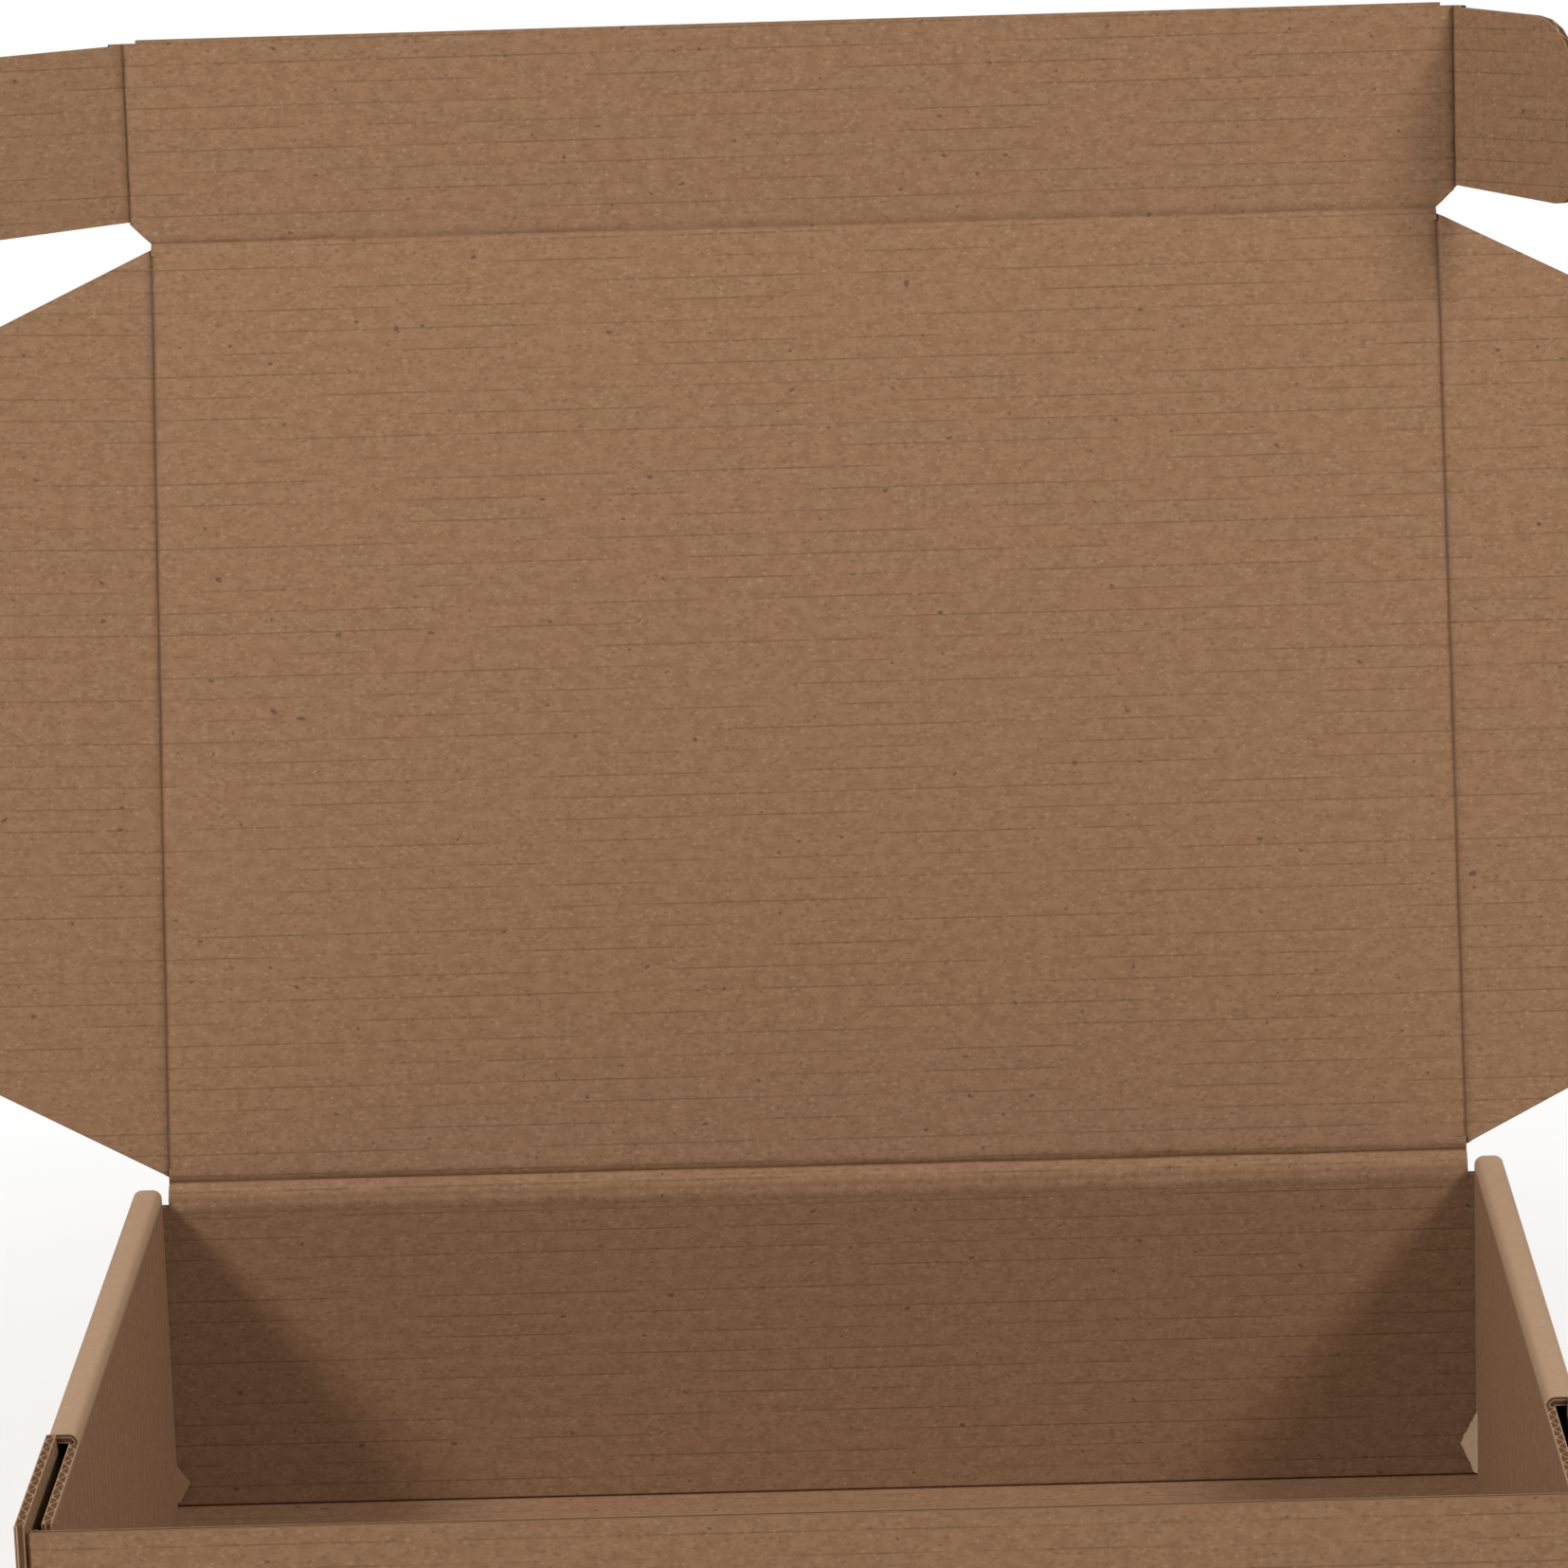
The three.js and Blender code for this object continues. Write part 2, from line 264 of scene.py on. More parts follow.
def fold(piece, flat, axis, rows, angle, where=lambda x, y: True):
    """Folds up all that lies beyond rows of the flat blank, from the outermost row in. axis is the
    coordinate that the rows are places on, and they run outwards from the blank's middle."""
    outwards = 1 if rows[-1] > 0 else -1
    over = 0.01 * NEAR
    bpy.ops.object.mode_set(mode="EDIT")
    for row in reversed(rows):
        beyond = [outwards * (co[axis] - row) > over and where(co.x, co.y) for co in flat]
        select_points(piece, lambda i, co: beyond[i])
        centre = (row, 0, 0) if axis == 0 else (0, row, 0)
        sense = -outwards if axis == 0 else outwards
        turn(sense * angle / len(rows), "Y" if axis == 0 else "X", centre)
    bpy.ops.object.mode_set(mode="OBJECT")


def press_crease(piece, flat, axis, line, depth, lip):
    """Presses the score line into the inner liner and swells the liner beside it."""
    bpy.ops.object.mode_set(mode="EDIT")
    for at, height in ((0, -depth), (1, -0.35 * depth), (LIP_ROW, lip)):
        off = at * CREASE_STEP
        picked = [co.z > 0 and abs(abs(co[axis] - line) - off) < 0.5 * NEAR for co in flat]
        select_points(piece, lambda i, co: picked[i])
        bpy.ops.transform.translate(value=(0, 0, height))
    bpy.ops.object.mode_set(mode="OBJECT")


def roughen(piece, flat, axis, line):
    """Makes the score line a little wavy, as a blunt rule leaves it."""
    bpy.ops.object.mode_set(mode="EDIT")
    inside = [co.z > 0 and abs(co[axis] - line) < 1.5 * CREASE_STEP for co in flat]
    select_points(piece, lambda i, co: inside[i])
    bpy.ops.transform.vertex_random(offset=CREASE_WAVER, seed=5)
    bpy.ops.object.mode_set(mode="OBJECT")


def bend_rows(start, radius, angle, count):
    """Rows of a round bend that starts at start, and where it ends."""
    length = radius * abs(angle)
    return [start + length * (i + 0.5) / count for i in range(count)], start + length


def finish_board(piece, place, body, materials):
    """Puts the folded blank in its place, smooths its bends and joins it to its CAD body."""
    mesh = piece.data
    mesh.transform(place)
    for material in materials:
        mesh.materials.append(material)
    bpy.ops.object.select_all(action="DESELECT")
    piece.select_set(True)
    bpy.context.view_layer.objects.active = piece
    bpy.ops.object.shade_smooth_by_angle(angle=math.radians(42))
    if body:
        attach(piece, body)


def board_place(line, up):
    """The place of a blank whose local origin is on a fold line at x = 0, its Y running up and its
    face towards the front."""
    up = Vector(up).normalized()
    facing = ACROSS.cross(up)
    turned = Matrix((ACROSS, up, facing)).transposed().to_4x4()
    return Matrix.Translation(Vector((0, line.y, line.z))) @ turned


BAND_LINE = FOLD_LINES["back_crease"][0]
LID_LINE = FOLD_LINES["lid_crease"][0]
TUCK_LINE = FOLD_LINES["tuck_crease"][0]
LID_UP = FOLD_LINES["left_flap_crease"][1]
TUCK_UP = FOLD_LINES["left_ear_crease"][1]
BAND_UP = (LID_LINE - BAND_LINE).normalized()
BAND_LENGTH = (LID_LINE - BAND_LINE).length
LID_LENGTH = (TUCK_LINE - LID_LINE).length
WALL_PLACE = board_place(BAND_LINE, (0, 0, 1))
BAND_PLACE = board_place(LID_LINE, BAND_UP)
LID_PLACE = board_place(LID_LINE, LID_UP)
TUCK_PLACE = board_place(TUCK_LINE, TUCK_UP)


def lean(up):
    """The angle by which a direction leans back from upright."""
    return math.atan2(up[1], up[2])


def add_node(tree, kind, links=None, **settings):
    """Adds a node with its settings; links names an input and the socket or value that it gets."""
    made = tree.nodes.new(kind)
    for key, value in settings.items():
        setattr(made, key, value)
    for key, value in (links or {}).items():
        if isinstance(value, bpy.types.NodeSocket):
            tree.links.new(value, made.inputs[key])
        else:
            made.inputs[key].default_value = value
    return made


def sheet_coordinates(tree):
    """The two coordinates of the flute map, in metres."""
    place = add_node(tree, "ShaderNodeUVMap", uv_map="flutes")
    split = add_node(tree, "ShaderNodeSeparateXYZ", {0: place.outputs[0]})
    return place.outputs[0], split.outputs[0], split.outputs[1]


def stretched(tree, place, along, across, detail=2.0):
    """Noise with so many grains a metre along and across the flutes."""
    scaled = add_node(tree, "ShaderNodeMapping", {"Vector": place, "Scale": (along, across, 1)})
    grain = add_node(tree, "ShaderNodeTexNoise",
                     {"Vector": scaled.outputs[0], "Scale": 1.0, "Detail": detail})
    return grain.outputs["Fac"]


def ramp(tree, value, low, high):
    """0 below low, 1 above high."""
    made = add_node(tree, "ShaderNodeMapRange",
                    {"Value": value, "From Min": low, "From Max": high},
                    interpolation_type="SMOOTHSTEP")
    return made.outputs[0]


def maths(tree, operation, a, b=0.0):
    return add_node(tree, "ShaderNodeMath", {0: a, 1: b}, operation=operation).outputs[0]


def tint(tree, share, under, over):
    mixed = add_node(tree, "ShaderNodeMix", {0: share, 6: under, 7: over}, data_type="RGBA")
    return mixed.outputs[2]


def kraft_liner(name, colours, pitch):
    """Unbleached kraft paper, machine-finished over corrugated flutes: matt and slightly fibrous,
    with a fine mottle, bark specks, and thin broken lines of painted shade where it sinks between the
    flutes. From the crease attribute it also takes painted shade at the bottom of score lines and in
    the tray's inner corners, and a painted highlight along the tops of the ledges."""
    material = bpy.data.materials.new(name)
    material.use_nodes = True
    tree = material.node_tree
    shader = tree.nodes["Principled BSDF"]
    place, along, across = sheet_coordinates(tree)
    mottle = stretched(tree, place, 210, 300, 4.0)  # clouds of pulp, 3 to 5 mm
    colour = tint(tree, ramp(tree, mottle, 0.34, 0.66), list(colours.kraft_dark),
                  list(colours.kraft))
    phase = maths(tree, "MULTIPLY", across, math.tau / pitch)
    wave = maths(tree, "SINE", phase)
    line = ramp(tree, wave, 0.94, 0.995)  # about 0.7 mm wide, once a flute
    broken = ramp(tree, stretched(tree, place, 26, 120, 4.0), 0.38, 0.56)  # runs of 40 mm
    sunk = maths(tree, "MULTIPLY", line, broken)
    # Painted shade along the thin grooves between the flutes, on top of their bump below.
    colour = tint(tree, maths(tree, "MULTIPLY", sunk, 0.8), colour, list(colours.flute_groove_shade))
    fibre = stretched(tree, place, 620, 1000, 3.0)  # 1 by 1.6 mm, coarser than real, to show
    colour = tint(tree, maths(tree, "MULTIPLY", ramp(tree, fibre, 0.55, 0.72), 0.46), colour,
                  list(colours.fleck_dark))
    colour = tint(tree, maths(tree, "MULTIPLY", ramp(tree, fibre, 0.43, 0.28), 0.36), colour,
                  list(colours.fleck_light))
    specks = stretched(tree, place, 260, 330, 1.0)  # bark specks of 1 to 2 mm
    colour = tint(tree, maths(tree, "MULTIPLY", ramp(tree, specks, 0.735, 0.78), 0.75), colour,
                  list(colours.fleck_dark))
    # Painted shade from the crease attribute: darker at the bottom of score lines and in the tray's
    # inner corners.
    pressed = add_node(tree, "ShaderNodeAttribute", attribute_name="crease")
    colour = tint(tree, maths(tree, "MULTIPLY", pressed.outputs["Fac"], 0.85), colour,
                  list(colours.crease))
    # Below 0 the crease attribute paints a highlight in the torn-paper colour along the tops of the
    # ledges.
    colour = tint(tree, maths(tree, "MULTIPLY", pressed.outputs["Fac"], -1.0), colour,
                  list(colours.torn))
    tree.links.new(colour, shader.inputs["Base Color"])
    shader.inputs["Roughness"].default_value = 0.88
    shader.inputs["IOR"].default_value = 1.45
    shader.inputs["Specular IOR Level"].default_value = 0.3
    relief = maths(tree, "MULTIPLY", wave, -0.35)
    relief = maths(tree, "ADD", relief, maths(tree, "MULTIPLY", sunk, -0.8))
    relief = maths(tree, "ADD", relief, maths(tree, "MULTIPLY", fibre, 1.6))
    bump = add_node(tree, "ShaderNodeBump",
                    {"Height": relief, "Distance": 0.05 * MM, "Strength": 0.7})
    tree.links.new(bump.outputs[0], shader.inputs["Normal"])
    return material


def cut_edge(name, colours, pitch, thickness):
    """A die-cut edge of corrugated board: two liners, and the fluted paper waving between them, with
    painted shade in the hollows between them.
    """
    material = bpy.data.materials.new(name)
    material.use_nodes = True
    tree = material.node_tree
    shader = tree.nodes["Principled BSDF"]
    place, through, across = sheet_coordinates(tree)
    wave = maths(tree, "SINE", maths(tree, "MULTIPLY", across, math.tau / pitch))
    offset = maths(tree, "SUBTRACT", through, maths(tree, "MULTIPLY", wave, 0.34 * thickness))
    medium = ramp(tree, maths(tree, "ABSOLUTE", offset), 0.3 * MM, 0.2 * MM)  # the fluted paper
    face = 0.5 * thickness
    liner = ramp(tree, maths(tree, "ABSOLUTE", through), face - 0.4 * MM, face - 0.3 * MM)
    paper = maths(tree, "MAXIMUM", medium, liner)
    fuzz = stretched(tree, place, 900, 900, 2.0)  # fibres of about 1 mm, pulled out by the die
    edge = tint(tree, ramp(tree, fuzz, 0.35, 0.7), list(colours.kraft), list(colours.fleck_light))
    # Painted shade: the hollows between the liners and the fluted paper take the dark crease colour.
    colour = tint(tree, paper, list(colours.crease), edge)
    tree.links.new(colour, shader.inputs["Base Color"])
    shader.inputs["Roughness"].default_value = 0.95
    shader.inputs["Specular IOR Level"].default_value = 0.2
    bump = add_node(tree, "ShaderNodeBump",
                    {"Height": paper, "Distance": 0.4 * MM, "Strength": 0.9})
    tree.links.new(bump.outputs[0], shader.inputs["Normal"])
    return material


def board_materials(scene):
    """The liner and the cut edge, made once for all the boards."""
    made = [bpy.data.materials.get(n) for n in ("kraft_liner", "corrugated_cut_edge")]
    if all(made):
        return made
    colours, sizes = scene.mailer_colours, scene.mailer_sizes
    return [kraft_liner("kraft_liner", colours, sizes.flute_pitch),
            cut_edge("corrugated_cut_edge", colours, sizes.flute_pitch, sizes.thickness)]


class MAILER_OT_tray(bpy.types.Operator):
    """Folds the tray from one blank: base, end walls with corner flaps, and rolled side walls"""
    bl_idname = "mailer.tray"
    bl_label = "Tray"

    def execute(self, context):
        sizes = context.scene.mailer_sizes
        radius = sizes.bend_radius
        quarter = math.pi / 2
        half = sizes.thickness / 2

        # Side walls: places along X of the flat blank, from the base outwards.
        low_rows, low_end = bend_rows(SIDE_MID - radius, radius, quarter, SIDE_ROWS)
        rise = TRAY_TOP.z - half - radius  # from the low fold's end to the ledge's top
        ledge_start = low_end + rise - half - radius
        ledge_rows, ledge_end = bend_rows(ledge_start, radius, quarter, LEDGE_ROWS)
        free_top = low_end + rise  # top of an outer panel where it has no ledge
        down_start = ledge_end + SIDE_MID - PANEL_MID - 2 * radius
        down_rows, down_end = bend_rows(down_start, radius, quarter, LEDGE_ROWS)
        panel_end = down_end + rise - sizes.thickness - TAB_ROOM
        tab_end = panel_end + sizes.thickness

        # End walls: places along Y.
        end_start = END_MID - radius
        end_rows, end_end = bend_rows(end_start, radius, quarter, SIDE_ROWS)
        flat_y = lambda z: end_end + z - half - radius
        front_top, back_top = flat_y(FRONT_TOP), flat_y(BACK_TOP)
        band_foot = flat_y(BAND_LINE.z - sizes.crease_reach)
        flap_foot = TRAY_TOP.y + SLIT
        front_flap_top, back_flap_top = flat_y(FRONT_FLAP_TOP), flat_y(BACK_FLAP_TOP)
        flap_rows, flap_bend_end = bend_rows(EAR_FOLD - radius, radius, quarter, SIDE_ROWS)
        front_flap_end = flap_bend_end + FRONT_FLAP_LENGTH
        back_flap_end = flap_bend_end + BACK_FLAP_LENGTH

        tabs = [(c - TAB_HALF, c + TAB_HALF) for c in (-TAB_MID, TAB_MID)]
        slots = [(a - TAB_ROOM, b + TAB_ROOM) for a, b in tabs]
        slot_in, slot_out = PANEL_MID - half - TAB_ROOM, PANEL_MID + half + TAB_ROOM

        piece = start_blank("tray_board", -tab_end, tab_end, -front_top, back_top)
        xs = [FLAP_FOLD, slot_in, slot_out, *flap_rows, END_WALL_HALF, SIDE_MID - radius, *low_rows,
              SIDE_MID - radius - GUARD, low_end + GUARD, ledge_start - GUARD, down_end + GUARD,
              front_flap_end, back_flap_end, *ledge_rows, ledge_end, free_top, *down_rows, down_end,
              panel_end]
        score_rows([s * x for x in xs for s in (-1, 1)])
        ys = [-front_flap_top, -flap_foot, -TRAY_TOP.y, -end_start, *[-r for r in end_rows],
              PANEL_FRONT, LEDGE_FRONT - SLIT, LEDGE_FRONT, PANEL_BACK - CORNER_IN, PANEL_BACK,
              end_start, *end_rows, TRAY_TOP.y, flap_foot, back_flap_top, band_foot,
              end_start - GUARD, GUARD - end_start, end_end + GUARD, -end_end - GUARD]
        score_rows((), ys + [v for pair in tabs + slots for v in pair])

        def waste(x, y):
            x, depth = abs(x), abs(y)
            if depth > end_start and END_WALL_HALF < x < SIDE_MID - radius:
                return depth < flap_foot
            if x > END_WALL_HALF and TRAY_TOP.y < depth < flap_foot:
                return True
            if x > END_WALL_HALF and depth > flap_foot:
                return y < 0 and (x > front_flap_end or y < -front_flap_top) or \
                    y > 0 and (x > back_flap_end or y > back_flap_top)
            if x < FLAP_FOLD and y > band_foot:
                return True
            if slot_in < x < slot_out and any(a < y < b for a, b in slots):
                return True
            if free_top < x < down_end and y < LEDGE_FRONT:
                return True
            if ledge_start < x < down_end and y > PANEL_BACK:
                return True
            if ledge_start < x < down_end and LEDGE_FRONT - SLIT < y < LEDGE_FRONT:
                return True
            if x > down_end and not PANEL_FRONT < y < PANEL_BACK:
                return True
            return x > panel_end and not any(a < y < b for a, b in tabs)

        remove_faces(piece, waste)
        for side in (-1, 1):  # the bevel at the lower back corner of each inner panel
            select_faces(piece, lambda x, y: x * side > down_end and y > PANEL_BACK - 2 * CORNER_IN)
            run = Vector((CORNER_UP, CORNER_IN)).length
            bpy.ops.mesh.bisect(plane_co=(side * panel_end, PANEL_BACK - CORNER_IN, 0),
                                plane_no=(side * CORNER_IN / run, CORNER_UP / run, 0),
                                threshold=1e-7)
        past = lambda x, y: (x - panel_end) * CORNER_IN + (y - PANEL_BACK + CORNER_IN) * CORNER_UP > 0
        remove_faces(piece, lambda x, y: down_end < abs(x) < panel_end
                     and y > PANEL_BACK - CORNER_IN and past(abs(x), y))

        def scored(co):
            # Painted shade on the inner liner in the bends between the base and the end walls.
            if co.z > 0:
                creased = end_start - NEAR < abs(co.y) < end_end + NEAR
                return 0.9 if creased and abs(co.x) < END_WALL_HALF else 0
            # Painted highlight, below 0, on the outer liner where it rolls over the tops of the
            # ledges.
            return -0.55 if ledge_start < abs(co.x) < down_end and abs(co.y) < TRAY_TOP.y else 0

        flat = make_board(piece, sizes.thickness, scored)

        def rolled(x, y):
            ledge = LEDGE_FRONT - NEAR < y < PANEL_BACK + NEAR or abs(x) > down_end - NEAR
            return sides(x, y) and ledge

        sides = lambda x, y: abs(y) < TRAY_TOP.y + NEAR
        flaps = lambda x, y: abs(y) > flap_foot - NEAR
        for side in (-1, 1):
            for rows, where in ((down_rows, rolled), (ledge_rows, rolled), (low_rows, sides),
                                (flap_rows, flaps)):
                fold(piece, flat, 0, [side * r for r in rows], quarter, where)
        ends = lambda x, y: abs(x) < END_WALL_HALF + NEAR or flaps(x, y)
        fold(piece, flat, 1, end_rows, quarter, ends)
        fold(piece, flat, 1, [-r for r in end_rows], quarter, ends)
        materials = board_materials(context.scene)
        finish_board(piece, Matrix.Translation((0, 0, half)), "tray", materials)
        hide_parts("tray")
        return {"FINISHED"}


def make_crease(context, name, place, axis, line, span, angle, reach, cut=None, mark=1.0):
    """The scored strip of board across one fold, folded by angle across its score line. span is its
    extent along the fold, reach how far it goes before and beyond the line, cut the lines to cut it
    along with a test for what comes off, and mark how deep the score line is and how much painted
    shade lies at its bottom."""
    sizes = context.scene.mailer_sizes
    outwards = 1 if line >= 0 else -1
    before, beyond = line - outwards * reach[0], line + outwards * reach[1]
    lo, hi = min(before, beyond), max(before, beyond)
    box = (*span, lo, hi) if axis == 1 else (lo, hi, *span)
    piece = start_blank(name, *box)
    rows = [line + k * CREASE_STEP for k in (-LIP_ROW, -1, 0, 1, LIP_ROW)]
    rows = [row for row in rows if lo < row < hi]
    length = span[1] - span[0]
    columns = [span[0] + length * i / CREASE_COLUMNS for i in range(1, CREASE_COLUMNS)]
    score_rows(*((columns, rows) if axis == 1 else (rows, columns)))
    if cut:
        for point, normal in cut[0]:
            score(point, normal)
        remove_faces(piece, cut[1])
    # Painted shade along the bottom of the score line, as strong as mark says.
    flat = make_board(piece, sizes.thickness, lambda co: mark * (
        co.z > 0 and abs(co[axis] - line) < 0.4 * CREASE_STEP))
    press_crease(piece, flat, axis, line, mark * sizes.crease_depth, sizes.crease_lip)
    roughen(piece, flat, axis, line)
    step = outwards * CREASE_STEP
    fold(piece, flat, axis, [line - step, line, line + step], angle)
    finish_board(piece, place, None, board_materials(context.scene))
    middle = sum(span) / 2
    ends = [(0, v, 0) if axis == 1 else (v, middle, 0) for v in (before, beyond)]
    start, end = (tuple(place @ Vector(v)) for v in ends)
    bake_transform(piece)
    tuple(start)
    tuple(end)
    return piece


def torn_paper(name, colours):
    """The inner plies of kraft paper where the liner is torn: pale, matt and fibrous."""
    material = bpy.data.materials.new(name)
    material.use_nodes = True
    tree = material.node_tree
    shader = tree.nodes["Principled BSDF"]
    place = add_node(tree, "ShaderNodeTexCoord").outputs["Object"]
    grain = add_node(tree, "ShaderNodeTexNoise",
                     {"Vector": place, "Scale": 900.0, "Detail": 3.0})  # fibres of about 1 mm
    fibre = grain.outputs["Fac"]
    colour = tint(tree, ramp(tree, fibre, 0.3, 0.5), list(colours.fleck_light), list(colours.torn))
    tree.links.new(colour, shader.inputs["Base Color"])
    shader.inputs["Roughness"].default_value = 0.97
    bump = add_node(tree, "ShaderNodeBump",
                    {"Height": fibre, "Distance": 0.15 * MM, "Strength": 0.5})
    tree.links.new(bump.outputs[0], shader.inputs["Normal"])
    return material


class MAILER_OT_scuffs(bpy.types.Operator):
    """Makes the paper that stands off the inner side panels' lower back corners, torn on the right"""
    bl_idname = "mailer.scuffs"
    bl_label = "Corner scuffs"

    def execute(self, context):
        torn = torn_paper("torn_kraft_paper", context.scene.mailer_colours)
        # name, side, width, height of its foot and of itself, and raggedness in millimetres
        for name, side, *lengths in (("left_corner_bump", -1, 5.2, 5.5, 12, 0.15),
                                     ("right_corner_tear", 1, 6.4, 5, 19, 0.45)):
            wide, foot, tall, ragged = (v * MM for v in lengths)
            peak = 0.42 * tall
            piece = start_blank(name, -0.4 * MM, wide, 0, tall)
            for normal in ((tall - peak, wide), (peak, -0.8 * wide)):
                score((wide, peak), Vector(normal).normalized(), clear_outer=True)
            score_rows([wide * i / 5 for i in range(1, 5)], [tall * i / 9 for i in range(1, 9)])
            select_points(piece, lambda i, co: co.x > NEAR)
            bpy.ops.transform.vertex_random(offset=ragged, seed=7)
            bpy.ops.object.mode_set(mode="OBJECT")
            wall = piece.modifiers.new("paper", "SOLIDIFY")
            wall.thickness = PAPER
            wall.offset = 0
            bpy.ops.object.modifier_apply(modifier="paper")
            along, up = Vector((-side, 1, 0)).normalized(), Vector((0, 0, 1))
            turned = Matrix((along, up, along.cross(up))).transposed().to_4x4()
            back = PANEL_BACK - 0.2 * MM - wide * along.y
            place = Vector((side * (PANEL_MID - HALF_BOARD), back, foot))
            finish_board(piece, Matrix.Translation(place) @ turned, "tray",
                         [torn] if side > 0 else board_materials(context.scene)[:1])
        return {"FINISHED"}


class MAILER_OT_band(bpy.types.Operator):
    """Makes the narrow band between the back wall and the lid, as the two creases that meet in it"""
    bl_idname = "mailer.band"
    bl_label = "Hinge band"

    def execute(self, context):
        reach = context.scene.mailer_sizes.crease_reach
        span = (-FLAP_FOLD, FLAP_FOLD)
        middle = BAND_LENGTH / 2
        lower = make_crease(context, "back_crease_strip", WALL_PLACE,
                            1, 0, span, -lean(BAND_UP), (reach, middle), mark=0.3)
        make_crease(context, "lid_crease_strip", BAND_PLACE,
                    1, 0, span, lean(BAND_UP) - lean(LID_UP), (middle, reach))
        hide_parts("hinge_band")
        return {"FINISHED"}


class MAILER_OT_lid(bpy.types.Operator):
    """Makes the lid's panel between its four creases"""
    bl_idname = "mailer.lid"
    bl_label = "Lid panel"

    def execute(self, context):
        sizes = context.scene.mailer_sizes
        reach = sizes.crease_reach
        wide = FLAP_FOLD - reach
        piece = start_blank("lid_board", -wide, wide, reach, LID_LENGTH - reach)
        make_board(piece, sizes.thickness)
        finish_board(piece, LID_PLACE, "lid_panel", board_materials(context.scene))
        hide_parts("lid_panel")
        return {"FINISHED"}


class MAILER_OT_lid_flaps(bpy.types.Operator):
    """Makes the lid's two bevelled side flaps with their creases"""
    bl_idname = "mailer.lid_flaps"
    bl_label = "Lid side flaps"

    def execute(self, context):
        sizes = context.scene.mailer_sizes
        reach = sizes.crease_reach
        slope, level = math.tan(FLAP_BEVEL), math.cos(FLAP_BEVEL)
        inner, outer = FLAP_FOLD + reach, FLAP_FOLD + FLAP_WIDTH
        low, high = FLAP_START, LID_LENGTH - FLAP_START  # of a flap's root

        def off(x, y):
            bevelled = slope * (abs(x) - FLAP_FOLD) + low > min(y, LID_LENGTH - y)
            return bevelled or abs(x) < FLAP_FOLD and not reach < y < LID_LENGTH - reach

        for name, side, degrees in FLAP_ANGLES:
            piece = start_blank(f"{name}_lid_flap_board", *sorted((side * inner, side * outer)),
                                0, LID_LENGTH)
            bevels = [((side * FLAP_FOLD, y), (side * slope * level, up * level))
                      for y, up in ((low, -1), (high, 1))]
            for point, normal in bevels:
                score(point, normal, clear_outer=True)
            fall = FLAP_WIDTH * slope
            round_corners(piece, [(side * outer, y) for y in (low + fall, high - fall)], FLAP_CORNER)
            make_board(piece, sizes.thickness)
            turn_flap(side, FLAP_FOLD, degrees)
            finish_board(piece, LID_PLACE, f"{name}_lid_flap", board_materials(context.scene))
            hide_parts(f"{name}_lid_flap")
            lines = [*bevels, ((0, reach), (0, 1)), ((0, LID_LENGTH - reach), (0, 1))]
            make_crease(context, f"{name}_flap_crease_strip",
                        LID_PLACE, 0, side * FLAP_FOLD, (low, high), math.radians(degrees),
                        (reach, reach), (lines, off))
        return {"FINISHED"}


def turn_flap(side, line, degrees):
    """Folds the active flap up about the fold line at its root."""
    if degrees:
        bpy.ops.object.mode_set(mode="EDIT")
        bpy.ops.mesh.select_all(action="SELECT")
        turn(-side * math.radians(degrees), "Y", (side * line, 0, 0))
        bpy.ops.object.mode_set(mode="OBJECT")


class MAILER_OT_tuck(bpy.types.Operator):
    """Makes the tuck flap on the lid's front edge, with the crease between them"""
    bl_idname = "mailer.tuck"
    bl_label = "Tuck flap"

    def execute(self, context):
        sizes = context.scene.mailer_sizes
        reach = sizes.crease_reach
        wide = EAR_FOLD - reach
        piece = start_blank("tuck_board", -wide, wide, reach, TUCK_HEIGHT)
        make_board(piece, sizes.thickness)
        finish_board(piece, TUCK_PLACE, "tuck_flap", board_materials(context.scene))
        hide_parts("tuck_flap")
        half = FLAP_FOLD + reach  # the notches that end at the crease run out at 45 degrees
        lines = [((side * FLAP_FOLD, LID_LENGTH), normal) for side in (-1, 1)
                 for normal in ((1, 0), Vector((side, -1)).normalized())]
        off = lambda x, y: abs(x) > FLAP_FOLD + max(0, y - LID_LENGTH)
        make_crease(context, "tuck_crease_strip", LID_PLACE, 1,
                    LID_LENGTH, (-half, half), lean(LID_UP) - lean(TUCK_UP), (reach, reach),
                    (lines, off), mark=0.5)
        return {"FINISHED"}


